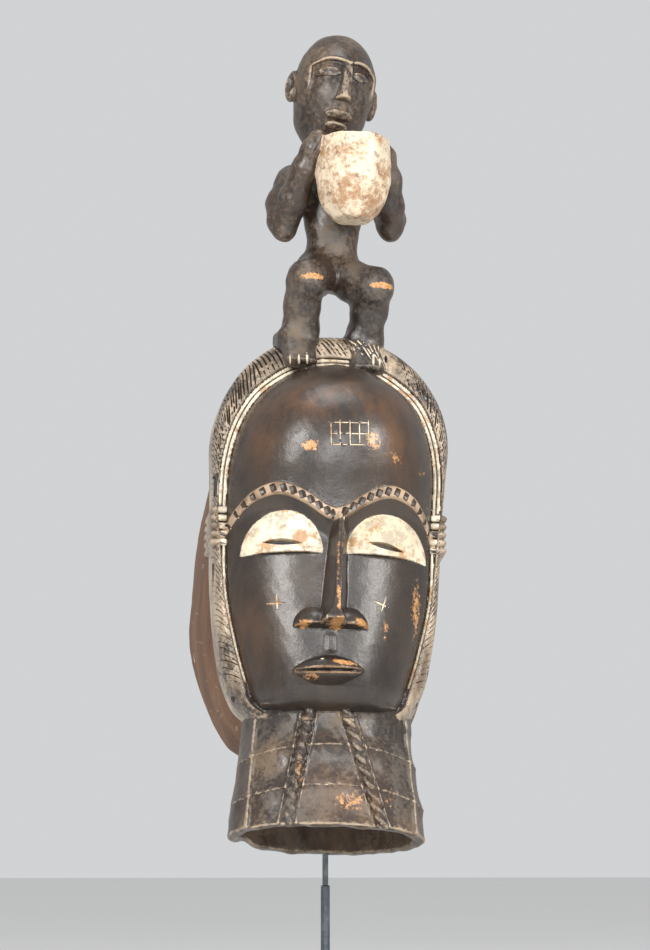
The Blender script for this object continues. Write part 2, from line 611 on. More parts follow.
def skull_field(p):
    q = (p - HEAD_PIVOT) @ HEAD_ROLL + HEAD_PIVOT
    x, y, z = q.T
    skull = tower(q, SKULL, 5.0) - small_face(x - SKULL_SHIFT, z) * ease((-14 - y) / 8)
    for s in (-1, 1):
        ear = smooth_max(knob(q, (SKULL_SHIFT + s * 25.5, -8, SKULL_FOOT + 38), (4.4, 5, 10.5)),
                         -knob(q, (SKULL_SHIFT + s * 30, -11, SKULL_FOOT + 38), (4.2, 3.4, 7)), 1.0)
        skull = smooth_min(skull, ear, 1.5)
    return skull


def figure_field(x, d, z):
    p = np.stack([x, -d, z], 1).astype(np.float32)
    p = p @ FIGURE_INVERSE[:3, :3].T + FIGURE_INVERSE[:3, 3]
    cup, hollow = cup_field(p)
    body = smooth_min(limbs_field(p), skull_field(p), 2.0)
    return np.maximum(smooth_min(body, cup, 1.2), -hollow), cup


# %% Everything that is one block of wood
FIGURE_FLOOR, FACE_CEILING, NECK_CEILING = 280.0, 322.0, 92.0
PEG_FRONT = -40
PEG_HEIGHTS = (CHIN + 0.545 * HEAD_HEIGHT, CHIN + 0.225 * HEAD_HEIGHT)


def knife_marks(x, d, z):
    """The slight unevenness of a surface that was cut and scraped by hand."""
    strength = 0.3 + 0.7 * np.maximum(ease((z - 300) / 20), ease((76 - z) / 10))
    return strength * (0.22 * np.sin(0.29 * x + 1.3 * np.sin(0.11 * z)) * np.sin(0.25 * z + 0.2 * d + 0.9)
                       + 0.13 * np.sin(0.53 * x + 0.45 * d + 0.6) * np.sin(0.57 * z + 0.31 * x))


def peg_distance(x, d, z):
    """How far a point is from the axes of the two pegs in each edge of the shell."""
    ahead = (d + BACK_DEPTH - HAIRLINE - 9) / 0.6
    return np.minimum(*(np.hypot(ahead, z - height) for height in PEG_HEIGHTS))


def wood_field(x, d, z):
    """Negative in the wood. The arrays are flat and in millimetres."""
    value = np.full(x.shape, 60.0, np.float32)
    low = z < FACE_CEILING
    if low.any():
        a, b, c = x[low], d[low], z[low]
        head, hollow = head_field(a, b, c)
        near = c < NECK_CEILING
        if near.any():
            neck, bore = neck_field(a[near], b[near], c[near])
            neck = smooth_min(neck, braid_field(a[near], b[near], c[near]), 0.5)
            head[near] = smooth_min(head[near], neck, 1.0)
            hollow[near] = smooth_min(hollow[near], bore, 4.0)
        ears = np.abs(c - EAR_FOOT - EAR_HEIGHT / 2) < EAR_HEIGHT
        if ears.any():
            head[ears] = smooth_min(head[ears], ear_field(a[ears], b[ears], c[ears]), 0.8)
        head = smooth_max(head, -hollow, 1.5)
        pegs = b < PEG_FRONT
        head[pegs] += 0.9 * ease((3.6 - peg_distance(a[pegs], b[pegs], c[pegs])) / 0.8)
        value[low] = head
    high = z > FIGURE_FLOOR
    if high.any():
        figure, _ = figure_field(x[high], d[high], z[high])
        value[high] = smooth_min(value[high], figure, 1.2)
    return value + knife_marks(x, d, z).astype(np.float32)


# %% [markdown]
# ## From the field to a skin
#
# The field is read on a fine grid, but only near the surface. Each cell that the surface crosses gets
# one point, and the points are joined to quads: this is called surface nets. It gives an even skin
# without cracks. One step along the field's slope then sets every point on the true surface.

# %% Read the field in blocks
GRID_STEP = 0.85
BLOCK, BLOCKS_AT_ONCE = 8, 256
HALF_DIAGONAL, SLOPE_MARGIN = 0.87, 1.35
GRID_LOW = np.array([-84.0, -78.0, -4.0])
GRID_HIGH = np.array([84.0, 96.0, 514.0])


def in_pieces(function, points, size=120000):
    return np.concatenate([function(*points[i:i + size].T) for i in range(0, len(points), size)])


def read_grid():
    cell = BLOCK * GRID_STEP
    blocks = np.ceil((GRID_HIGH - GRID_LOW) / cell).astype(int)
    index = np.stack(np.meshgrid(*(np.arange(n) for n in blocks), indexing="ij"), 3).reshape(-1, 3)
    middle = (GRID_LOW + (index + 0.5) * cell).astype(np.float32)
    coarse = in_pieces(wood_field, middle)
    values = np.where(coarse < 0, -9, 9).astype(np.float32).reshape(blocks)
    for axis in range(3):
        values = np.repeat(values, BLOCK, axis)
    active = index[np.abs(coarse) < HALF_DIAGONAL * cell * SLOPE_MARGIN]
    offsets = np.stack(np.meshgrid(*(np.arange(BLOCK),) * 3, indexing="ij"), 3).reshape(-1, 3)
    for start in range(0, len(active), BLOCKS_AT_ONCE):
        some = active[start:start + BLOCKS_AT_ONCE]
        at = (some[:, None] * BLOCK + offsets[None]).reshape(-1, 3)
        found = wood_field(*(GRID_LOW + at * GRID_STEP).astype(np.float32).T)
        values[at[:, 0], at[:, 1], at[:, 2]] = found
    print("grid", values.shape, "of which", len(active) * BLOCK ** 3, "points read")
    return values


# %% Surface nets
CORNERS = np.array([(i, j, k) for i in (0, 1) for j in (0, 1) for k in (0, 1)])
CELL_EDGES = [(a, b) for a in range(8) for b in range(a + 1, 8)
              if np.abs(CORNERS[a] - CORNERS[b]).sum() == 1]


def skin_of(values):
    inside = values < 0
    shape = np.array(values.shape) - 1
    count = sum(inside[i:i + shape[0], j:j + shape[1], k:k + shape[2]].astype(np.int8)
                for i, j, k in CORNERS)
    cells = np.argwhere((count > 0) & (count < 8))
    corner = np.stack([values[tuple((cells + c).T)] for c in CORNERS], 1)
    total, hits = np.zeros((len(cells), 3)), np.zeros(len(cells))
    for a, b in CELL_EDGES:
        va, vb = corner[:, a], corner[:, b]
        crossing = (va < 0) != (vb < 0)
        t = np.where(crossing, va / np.where(crossing, va - vb, 1), 0)
        total += crossing[:, None] * (CORNERS[a] + t[:, None] * (CORNERS[b] - CORNERS[a]))
        hits += crossing
    points = GRID_LOW + (cells + total / hits[:, None]) * GRID_STEP
    number = np.full(shape, -1, np.int32)
    number[tuple(cells.T)] = np.arange(len(cells))
    quads = []
    for axis in range(3):
        b, c = (axis + 1) % 3, (axis + 2) % 3
        step = np.eye(3, dtype=int)
        here = [slice(1, -1)] * 3
        there = [slice(1, -1)] * 3
        there[axis] = slice(2, None)
        start, end = inside[tuple(here)], inside[tuple(there)]
        for flip, crossing in ((False, start & ~end), (True, ~start & end)):
            at = np.argwhere(crossing) + 1
            ring = [number[tuple((at - o).T)] for o in (0 * step[b], step[b], step[b] + step[c], step[c])]
            quads.append(np.stack(ring[::-1] if flip else ring, 1))
    return points, np.concatenate(quads)


def settle(points, reach=0.25):
    """One step along the slope of the field onto its zero level."""
    p = points.astype(np.float32)
    here = in_pieces(wood_field, p)
    ahead = [in_pieces(wood_field, p + reach * e) for e in np.eye(3, dtype=np.float32)]
    slope = np.stack([(value - here) / reach for value in ahead], 1)
    size = np.maximum((slope ** 2).sum(1), 0.2)
    return points - np.clip(here / size, -0.6, 0.6)[:, None] * slope


points, quads = skin_of(read_grid())
points = settle(points)
print("skin of", len(points), "points and", len(quads), "quads")

# %% Mesh of the block
TO_BLENDER = np.array([1, -1, 1]) / 1000


def plain_mesh(name, points, faces):
    mesh = bpy.data.meshes.new(name)
    size = faces.shape[1]
    mesh.vertices.add(len(points))
    mesh.vertices.foreach_set("co", points.astype(np.float32).ravel())
    mesh.loops.add(faces.size)
    mesh.loops.foreach_set("vertex_index", faces.astype(np.int32).ravel())
    mesh.polygons.add(len(faces))
    mesh.polygons.foreach_set("loop_start", np.arange(0, faces.size, size, dtype=np.int32))
    mesh.update(calc_edges=True)
    mesh.validate()
    return mesh


def shown(name, mesh):
    thing = bpy.data.objects.new(name, mesh)
    bpy.context.scene.collection.objects.link(thing)
    return thing


def baked(thing):
    """The object's evaluated mesh, with its modifiers removed."""
    graph = bpy.context.evaluated_depsgraph_get()
    mesh = bpy.data.meshes.new_from_object(thing.evaluated_get(graph))
    thing.modifiers.clear()
    thing.data = mesh
    return mesh


BODY_FACES = 135000
block = shown("carved_mask", plain_mesh("carved_mask", points * TO_BLENDER, quads))
thin = block.modifiers.new("thin", "DECIMATE")
thin.ratio = min(1.0, BODY_FACES / (2 * len(quads)))
baked(block)
print("block of", len(block.data.polygons), "faces")

# %% [markdown]
# ## Knife cuts
#
# The hair is several hundred short V cuts, and the brow cells, cheek crosses, toes and eyes are cuts
# too. Each is a line on the surface, so one Geometry Nodes tree turns any set of lines into tapering
# wedges, and one boolean takes them out of the block. A bump map would leave the silhouette smooth.

# %% The tree that makes wedges along lines
def node(tree, kind, inputs=(), **settings):
    made = tree.nodes.new(kind)
    for key, value in settings.items():
        setattr(made, key, value)
    for key, value in dict(inputs).items():
        if isinstance(value, bpy.types.NodeSocket):
            tree.links.new(value, made.inputs[key])
        else:
            made.inputs[key].default_value = value
    return made


def wedge_tree():
    tree = bpy.data.node_groups.new("wedge_cuts", "GeometryNodeTree")
    face = tree.interface
    face.new_socket("Lines", in_out="INPUT", socket_type="NodeSocketGeometry")
    face.new_socket("Half width", in_out="INPUT", socket_type="NodeSocketFloat")
    face.new_socket("Depth", in_out="INPUT", socket_type="NodeSocketFloat")
    face.new_socket("Sides", in_out="INPUT", socket_type="NodeSocketInt")
    face.new_socket("Material", in_out="INPUT", socket_type="NodeSocketMaterial")
    face.new_socket("Wedges", in_out="OUTPUT", socket_type="NodeSocketGeometry")
    given = node(tree, "NodeGroupInput").outputs
    out = node(tree, "GeometryNodeInputNamedAttribute", {"Name": "out"}, data_type="FLOAT_VECTOR")
    taper = node(tree, "GeometryNodeInputNamedAttribute", {"Name": "taper"}, data_type="FLOAT")
    line = node(tree, "GeometryNodeMeshToCurve", {"Mesh": given["Lines"]})
    turned = node(tree, "GeometryNodeSetCurveNormal", {"Curve": line.outputs["Curve"],
                  "Normal": out.outputs["Attribute"]}, mode="FREE")
    ring = node(tree, "GeometryNodeCurvePrimitiveCircle", {"Resolution": given["Sides"], "Radius": 1.0})
    size = node(tree, "ShaderNodeCombineXYZ", {"X": given["Depth"], "Y": given["Half width"], "Z": 1.0})
    section = node(tree, "GeometryNodeTransform", {"Geometry": ring.outputs["Curve"],
                   "Scale": size.outputs["Vector"]})
    swept = node(tree, "GeometryNodeCurveToMesh", {"Curve": turned.outputs["Curve"],
                 "Profile Curve": section.outputs["Geometry"], "Scale": taper.outputs["Attribute"],
                 "Fill Caps": True})
    real = node(tree, "GeometryNodeRealizeInstances", {"Geometry": swept.outputs["Mesh"]})
    finished = node(tree, "GeometryNodeSetMaterial", {"Geometry": real.outputs["Geometry"],
                    "Material": given["Material"]})
    node(tree, "NodeGroupOutput", {"Wedges": finished.outputs["Geometry"]})
    return tree


WEDGES = wedge_tree()
print("wedge tree of", len(WEDGES.nodes), "nodes")


# %% Lines on the surface, and the cut itself
def slope_at(p, reach=0.3):
    p = p.astype(np.float32)
    pairs = [(in_pieces(wood_field, p + reach * e), in_pieces(wood_field, p - reach * e))
             for e in np.eye(3, dtype=np.float32)]
    return np.stack([(after - before) / (2 * reach) for after, before in pairs], 1)


def on_surface(p, steps=3):
    p = p.astype(np.float64)
    for _ in range(steps):
        slope = slope_at(p)
        size = np.maximum((slope ** 2).sum(1), 0.2)
        p = p - np.clip(in_pieces(wood_field, p.astype(np.float32)) / size, -2, 2)[:, None] * slope
    slope = slope_at(p)
    return p, slope / np.linalg.norm(slope, axis=1)[:, None]


def wedges(name, lines, tapers, half_width, depth, sides=4):
    """Cutters along lines of (x, d, z) points; tapers holds the width's share at each point."""
    p = np.concatenate([np.asarray(line, float) for line in lines])
    p, normal = on_surface(p)
    mesh = bpy.data.meshes.new(name)
    edges, first = [], 0
    for line in lines:
        edges += [(first + i, first + i + 1) for i in range(len(line) - 1)]
        first += len(line)
    mesh.from_pydata((p * TO_BLENDER).tolist(), edges, [])
    mesh.attributes.new("out", "FLOAT_VECTOR", "POINT").data.foreach_set(
        "vector", (normal * np.array([1, -1, 1])).astype(np.float32).ravel())
    mesh.attributes.new("taper", "FLOAT", "POINT").data.foreach_set(
        "value", np.concatenate(tapers).astype(np.float32))
    thing = shown(name, mesh)
    modifier = thing.modifiers.new("wedges", "NODES")
    modifier.node_group = WEDGES
    sizes = {"Half width": half_width / 1000, "Depth": depth / 1000, "Sides": sides, "Material": wood}
    for item in WEDGES.interface.items_tree:
        if item.name in sizes:
            modifier[item.identifier] = sizes[item.name]
    baked(thing)
    return thing


def cut(cutter):
    """Takes the cutter out of the block, and removes the cutter."""
    before = len(block.data.vertices)
    knife = block.modifiers.new("cut", "BOOLEAN")
    knife.operation, knife.solver, knife.object = "DIFFERENCE", "MANIFOLD", cutter
    baked(block)
    print(cutter.name, len(cutter.data.polygons), "faces; block", before, "->", len(block.data.vertices))
    bpy.data.objects.remove(cutter)


START_AHEAD, MARCH_STEPS, MARCH_SHARE = 0.12, 60, 0.7


def seen(spots):
    """The points of the surface that the camera sees at these pixels of the photograph."""
    back = MASK_PLACE.inverted()
    start, points = back @ camera.location, []
    for x, y in spots:
        target = back @ (aim + right * (x - IMAGE_WIDTH / 2) * PIXEL - up * (y - IMAGE_HEIGHT / 2) * PIXEL)
        points.append(target - START_AHEAD * (target - start).normalized())
    p = np.array(points) / TO_BLENDER
    ray = np.array([(target - start).normalized() for target in points]) * (1, -1, 1)
    for _ in range(MARCH_STEPS):
        gap = np.clip(in_pieces(wood_field, p.astype(np.float32)), -3, 20)
        p = p + MARCH_SHARE * gap[:, None] * ray
    return p


def seen_line(a, b):
    share = np.linspace(0, 1, len(SPINDLE))[:, None]
    return seen((1 - share) * np.array(a) + share * np.array(b))


wood = bpy.data.materials.new("carved_wood")
SPINDLE = np.array([0.06, 0.6, 0.9, 1, 1, 0.9, 0.6, 0.06])
STROKE = np.array([0.3, 0.9, 1, 1, 1, 1, 0.9, 0.4])
EVEN = np.array([0.5, 1, 1, 1, 1, 1, 1, 0.5])

# %% [markdown]
# ## The hair
#
# The coiffure is a roll with fine V cuts that start at its outer edge near the crown and end at the
# fillet further down, mirrored left and right. The lines are laid on the roll by angle, a little uneven
# as a hand makes them, and the random numbers have a fixed seed so that each run is the same.

# %% Lay the strokes on the roll
SEAM = math.pi / 2 + 0.22
HAIR_SETS, STROKE_HALF_WIDTH, STROKE_DEPTH = 4, 0.75, 0.9
rng = np.random.default_rng(11)


def hair_line(t, lean, first=0.98, last=0.06):
    u = np.linspace(first, last, len(SPINDLE))
    v = (1 - u ** ROLL_POWER) ** (1 / ROLL_POWER)
    across = np.linspace(-1, 1, len(SPINDLE))
    radius = float(hair_radius(SEAM - t))
    angle = SEAM - t - lean * across / radius
    inner = face_radius(angle) + fillet_width(HEAD_CENTRE + face_radius(angle) * np.sin(angle))
    r = inner + u * (hair_radius(angle) - inner)
    z = HEAD_CENTRE + r * np.sin(angle)
    depth = HAIRLINE - HAIR_DEPTH + v * (HAIR_DEPTH + ROLL_FRONT)
    return np.stack([r * np.cos(angle) + wander(z), depth, z], 1)


lines, tapers = [], []
for side, end in ((-1, 2.42), (1, 2.86)):
    t = 0.02
    while t < end:
        radius = float(hair_radius(SEAM - side * t))
        low = float(ease((t - 0.7) / 0.7))
        pitch = 3.3 if t < 0.35 else 2.9 + 0.3 * low
        lean = side * ((8.5 - 1.5 * low) * min(t / 0.5, 1) + rng.normal(0, 0.3)) + (3.0 if t < 0.25 else 0)
        if abs(side * t - 0.22 - 0.32) > 0.05 or side < 0:
            lines.append(hair_line(side * t, lean, rng.uniform(0.96, 0.99), rng.uniform(0.0, 0.08)))
            tapers.append(STROKE * rng.uniform(0.85, 1.05) * (1 - 0.4 * low))
        t += (pitch + rng.normal(0, 0.15)) / radius
for turn in range(HAIR_SETS):
    cut(wedges("hair_strokes_" + str(turn), lines[turn::HAIR_SETS], tapers[turn::HAIR_SETS],
               STROKE_HALF_WIDTH, STROKE_DEPTH))

# %% [markdown]
# ## Brows, cheeks, forehead and toes
#
# A ladder of slanting cells fills each brow band, a small cross marks each cheek, a grid of fine lines
# sits on the forehead, and short cuts part the toes and fingers. All are lines for the same tree, with
# other widths. Their ends are pixels of the photograph, which the camera carries onto the surface.

# %% Brow cells
def relief_depth(x, z):
    x, z = np.asarray(x, float), np.asarray(z, float)
    return read_maps(x.ravel().astype(np.float32), z.ravel().astype(np.float32))[0].reshape(x.shape)


def front_line(points):
    """A line given by (x, z) points, laid on the front of the face."""
    p = np.array(points, float)
    return np.stack([p[:, 0], relief_depth(p[:, 0], p[:, 1]), p[:, 1]], 1)


BROW_CELLS, CELL_SLANT = 12, 1.3
lines, tapers = [], []
for side in (-1, 1):
    reach = np.linspace(1, 0.87 * HALF_WIDTH, 400)
    height = brow_line(EYE_SHIFT + side * reach)
    run = np.concatenate([[0], np.cumsum(np.hypot(np.diff(reach), np.diff(height)))])
    for k in range(BROW_CELLS):
        at = np.interp((k + 0.75) / (BROW_CELLS + 0.6) * run[-1], run, reach)
        low = float(brow_line(EYE_SHIFT + side * at))
        shares = np.linspace(0.16, 0.84, 5)
        slant = CELL_SLANT * (shares - 0.5) * 2
        lines.append(front_line([(EYE_SHIFT + side * (at + s), low + share * BROW_WIDTH)
                                 for s, share in zip(slant, shares)]))
        tapers.append(np.array([0.9, 1, 1, 1, 0.9]) * (1 if at < 0.75 * HALF_WIDTH else 0.75))
cut(wedges("brow_cells", lines, tapers, 2.35, 1.7, sides=6))

# %% Diamonds, crosses, grid, toes and fingers
DIAMOND_PIXELS = [((333, 505), (333, 522)), ((344.5, 505), (344.5, 522))]
CROSS_PIXELS = [((263, 604), (287, 602.5)), ((371.5, 599.5), (392, 609))]
CROSS_BAR_PIXELS = [((276.5, 591), (277.5, 612)), ((387, 594.5), (381, 613.5))]
UPRIGHT_PIXELS = [((x, 419.5), (x + 0.5, 446)) for x in (331, 340, 350, 359.5, 368.5)]
BAR_PIXELS = [((328.5, y), (370.5, y + 0.7)) for y in (422, 433, 444)]
TOE_PIXELS = [((290, 353), (290, 366)), ((299, 352), (299, 366)), ((307, 350), (307.5, 366)),
              ((373.5, 352), (373.5, 367)), ((380, 352), (380, 368)), ((386, 354), (386, 364))]
DIAMOND = np.interp(np.linspace(0, 1, len(SPINDLE)), (0, 0.5, 1), (0.1, 1, 0.1))
FINGER_PIXELS = [((313, 153), (322, 137)), ((317, 157), (326, 141)), ((321, 160), (329, 146))]
SMALL_EYE_PIXELS = [((309, 77), (326, 75.5)), ((355, 82.5), (369, 83.5))]


def cut_lines(name, ends, half_width, depth, taper=SPINDLE):
    cut(wedges(name, [seen_line(a, b) for a, b in ends], [taper] * len(ends), half_width, depth))


cut_lines("diamonds", DIAMOND_PIXELS, 2.3, 1.2, DIAMOND)
cut_lines("cheek_crosses", CROSS_PIXELS, 0.85, 0.8)
cut_lines("cheek_cross_bars", CROSS_BAR_PIXELS, 0.85, 0.8)
cut_lines("forehead_uprights", UPRIGHT_PIXELS, 0.55, 0.7, EVEN)
cut_lines("forehead_bars", BAR_PIXELS, 0.55, 0.66, EVEN)
cut_lines("toes", TOE_PIXELS, 1.0, 1.2)
cut_lines("fingers", FINGER_PIXELS, 0.6, 0.8)
cut_lines("small_eyes", SMALL_EYE_PIXELS, 0.55, 0.7)

# %% Eye slits
def lens_cutter(name, x, z, half_width, half_height, turn, back=12.0, front=80.0, steps=9):
    """A lens-shaped bar along d, to cut an opening through the face."""
    s = np.linspace(-1, 1, steps)
    top = np.stack([s * half_width, half_height * (1 - s ** 2)], 1)
    ring = np.concatenate([top, top[-2:0:-1] * (1, -0.8)])
    c, sn = math.cos(turn), math.sin(turn)
    ring = ring @ np.array([[c, sn], [-sn, c]]) + (x, z)
    points = [(a, d, b) for d in (back, front) for a, b in ring]
    n = len(ring)
    faces = [tuple(range(n)), tuple(range(2 * n - 1, n - 1, -1))]
    faces += [(i + n, (i + 1) % n + n, (i + 1) % n, i) for i in range(n)]
    mesh = bpy.data.meshes.new(name)
    mesh.from_pydata((np.array(points) * TO_BLENDER).tolist(), [], faces)
    return shown(name, mesh)


cut(lens_cutter("slit_left", EYE_SHIFT - 31.0, SLIT_HEIGHT, 11.8, 2.3, math.radians(-3.5)))
cut(lens_cutter("slit_right", EYE_SHIFT + 31.8, SLIT_HEIGHT - 0.4, 11.6, 2.3, math.radians(-9.5)))

# %% [markdown]
# ## What the finish has to know
#
# Wear, chalk and dust follow the carving, so the mesh carries plain numbers for the material: how far
# inside a lid's outline a point lies, how far outside the face, how deep in a cut, how sharp an edge.
# They are smooth distances, and the material makes the sharp, ragged borders from them with noise.

# %% Measure the carving at every point of the mesh
CUP_LOWEST, CHALK_TOP, PEG_RADIUS = 360, 380, 3.4


def carry(name, values):
    block.data.attributes.new(name, "FLOAT", "POINT").data.foreach_set("value", values.astype(np.float32))


count = len(block.data.vertices)
place = np.empty(count * 3, np.float32)
block.data.vertices.foreach_get("co", place)
place = (place.reshape(-1, 3) / TO_BLENDER).astype(np.float32)
px, pd, pz = place.T
relief_here, _, _, _, _, face_here, _ = read_maps(px, pz)
q = place * np.array([1, -1, 1], np.float32) @ FIGURE_INVERSE[:3, :3].T + FIGURE_INVERSE[:3, 3]
cup_here, cup_hole = cup_field(q)
rest_here = smooth_min(limbs_field(q), skull_field(q), 2.0)
figure_here = np.minimum(rest_here, cup_here)
head_here, hollow_here = head_field(px, pd, pz)
neck_here, bore_here = neck_field(px, pd, pz)
of_figure = np.where(pz < FACE_CEILING, head_here, 9) - figure_here
of_figure = np.where(pz > FIGURE_FLOOR, np.clip(of_figure, -3, 3), -3)
of_neck = np.where(pz < NECK_CEILING, np.clip(head_here - neck_here, -3, 3), -3)
of_head = -np.maximum(of_figure, of_neck)
on_front = (pd > relief_here - 5) & (pz < FACE_CEILING) & (pz > 60)

carry("figure", of_figure)
carry("neck", of_neck)
carry("lid", np.where(on_front, np.clip(lid_distance(px, pz), -6, 12), -6))
carry("lines", np.clip(np.minimum(np.minimum(face_here + 0.3, fillet_width(pz) - face_here),
                                  np.minimum(of_head, np.minimum(pz - 90, pd - 8) / 5)), -3, 3))
carry("hair", np.where((face_here > -1) & (pd > HAIRLINE - HAIR_DEPTH - 4),
                       np.clip(np.minimum(face_here - fillet_width(pz), of_head + 1), -3, 3), -3))
reach = np.abs(px - EYE_SHIFT)
across = (pz - brow_line(px)) / BROW_WIDTH
carry("brow", np.where(on_front, np.clip(np.minimum(np.minimum(across, 1 - across) * BROW_WIDTH + 0.3,
                                                    (0.9 * HALF_WIDTH - reach)), -3, 3), -3))
carry("cut", np.clip(-in_pieces(wood_field, place) - 0.03, 0, 2))
carry("chalk", np.clip((CHALK_TOP - pz) / 5, 0, 1))
EDGE_REACH = 1.6
DIRECTIONS = np.array([(i, j, k) for i in (-1, 0, 1) for j in (-1, 0, 1) for k in (-1, 0, 1)
                       if i or j or k], np.float32)
DIRECTIONS /= np.linalg.norm(DIRECTIONS, axis=1)[:, None]
around_here = (in_pieces(wood_field, place + EDGE_REACH * way) for way in DIRECTIONS)
edge = sum(np.clip(value / EDGE_REACH, -1, 1) for value in around_here) / len(DIRECTIONS)
carry("edge", edge)
of_cup = np.maximum(rest_here, -2) - np.maximum(cup_here, -cup_hole)
carry("cup", np.where(pz > CUP_LOWEST, np.clip(of_cup, -3, 3), -3))
carry("behind", np.clip(HAIRLINE - HAIR_DEPTH - pd, -20, 60) * (pz < FACE_CEILING) * (pz > 60))
inner = np.minimum(hollow_here, np.where(pz < 80, bore_here, 9))
carry("inside", np.where(pz < FACE_CEILING - 8, np.clip(2 - inner, -3, 3), -3))
in_peg = np.clip(PEG_RADIUS - peg_distance(px, pd, pz), -3, 3)
carry("peg", np.where((pz < FACE_CEILING) & (pd < PEG_FRONT), in_peg, -3))
print("edge from", round(float(edge.min()), 2), "to", round(float(edge.max()), 2))

# %% Patches worn down to bare wood, and brown tints
# Each row holds a pixel of the photograph, a half width and half height in millimetres, and a strength.
BARE_PIXELS = [(310, 445, 7, 4, 0.85), (374, 441, 7, 9, 0.62), (395, 458, 8, 6, 0.55),
               (422, 475, 3, 7, 0.55), (339, 600, 1.5, 24, 0.8), (339, 555, 1.3, 18, 0.6),
               (337, 622, 6, 2.4, 0.75), (305, 622, 5, 3, 0.75), (362, 622, 6, 3.4, 0.9),
               (345, 662, 14, 2.2, 0.75), (312, 676, 9, 2.2, 0.6), (385, 628, 4, 12, 0.5),
               (416, 610, 4.5, 24, 0.62), (288, 666, 2.5, 2, 0.9), (350, 800, 14, 10, 0.55),
               (300, 770, 3, 18, 0.5), (390, 800, 4, 16, 0.45)]
WARM_PIXELS = [(335, 400, 46, 12, 0.9), (260, 440, 14, 22, 0.5), (395, 440, 14, 22, 0.6),
               (345, 800, 24, 20, 0.7), (250, 640, 12, 30, 0.4)]
KNEES = [(-20, -36, 31, 9), (24, -37, 30, 10)]
KNEE_EDGE = 2.4


def spots(list_of_spots):
    total = np.zeros(count)
    middles = seen([spot[:2] for spot in list_of_spots])
    for (cx, _, cz), (_, _, rx, rz, strength) in zip(middles, list_of_spots):
        near = np.exp(-(((px - cx) / rx) ** 2 + ((pz - cz) / rz) ** 2))
        total = np.maximum(total, strength * near * (pd > relief_here - 8) * (pz < FACE_CEILING - 15))
    return total


bare = spots(BARE_PIXELS)
for cx, cy, cz, r in KNEES:
    near = np.exp(-((q[:, 0] - cx) / r) ** 2 - ((q[:, 2] - cz) / KNEE_EDGE) ** 2)
    bare = np.maximum(bare, near * (q[:, 1] < cy + 8))
carry("bare", bare)
carry("warm", spots(WARM_PIXELS))

# %% Place it in the frame
block.data.transform(MASK_PLACE)
block.data.polygons.foreach_set("use_smooth", np.ones(len(block.data.polygons), bool))
block.data.set_sharp_from_angle(angle=math.radians(38))
weights = block.modifiers.new("weights", "WEIGHTED_NORMAL")
weights.keep_sharp, weights.weight = True, 50
baked(block)
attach(block, "root")
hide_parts("mask")
print("carved mask:", len(block.data.vertices), "points,", len(block.data.polygons), "faces")

# %% [markdown]
# ## The finish of the wood
#
# A century of handling and smoke has left a dark, half glossy patina. It is rubbed to golden brown on
# nose, knees and knife edges, and white clay sits on the lids, the fillets and in the cuts. The
# material lays these one over the other, as on the real surface: wood, patina, wear, clay, dirt.

# %% Helpers for node materials
class Finish:
    """Short names for the nodes that this scene's finishes are made of."""

    def __init__(self, material):
        material.use_nodes = True
        self.tree = material.node_tree
        self.shader = self.tree.nodes["Principled BSDF"]
        self.place = node(self.tree, "ShaderNodeTexCoord").outputs["Object"]

    def number(self, name):
        return node(self.tree, "ShaderNodeAttribute", attribute_name=name).outputs["Fac"]

    def noise(self, scale, detail=4.0, rough=0.6, stretch=(1, 1, 1), turn=(0, 0, 0)):
        where = node(self.tree, "ShaderNodeMapping",
                     {"Vector": self.place, "Scale": stretch, "Rotation": turn})
        return node(self.tree, "ShaderNodeTexNoise", {"Vector": where.outputs["Vector"], "Scale": scale,
                    "Detail": detail, "Roughness": rough}).outputs["Fac"]

    def math(self, operation, a, b=0.0, c=0.0):
        return node(self.tree, "ShaderNodeMath", {0: a, 1: b, 2: c}, operation=operation).outputs["Value"]

    def step(self, value, low, high):
        """0 below low, 1 above high, soft between."""
        return node(self.tree, "ShaderNodeMapRange", {"Value": value, "From Min": low, "From Max": high},
                    interpolation_type="SMOOTHSTEP").outputs["Result"]

    def scaled(self, value, low, high):
        return node(self.tree, "ShaderNodeMapRange",
                    {"Value": value, "To Min": low, "To Max": high}).outputs["Result"]

    def mix(self, share, a, b):
        made = node(self.tree, "ShaderNodeMix", {0: share}, data_type="RGBA")
        for socket, value in ((made.inputs[6], a), (made.inputs[7], b)):
            if isinstance(value, bpy.types.NodeSocket):
                self.tree.links.new(value, socket)
            else:
                socket.default_value = (*value, 1)
        return made.outputs[2]

    def bump(self, height, strength, distance, normal=None):
        inputs = {"Height": height, "Strength": strength, "Distance": distance}
        if normal is not None:
            inputs["Normal"] = normal
        return node(self.tree, "ShaderNodeBump", inputs).outputs["Normal"]

    def set(self, name, value):
        if isinstance(value, bpy.types.NodeSocket):
            self.tree.links.new(value, self.shader.inputs[name])
        else:
            self.shader.inputs[name].default_value = value


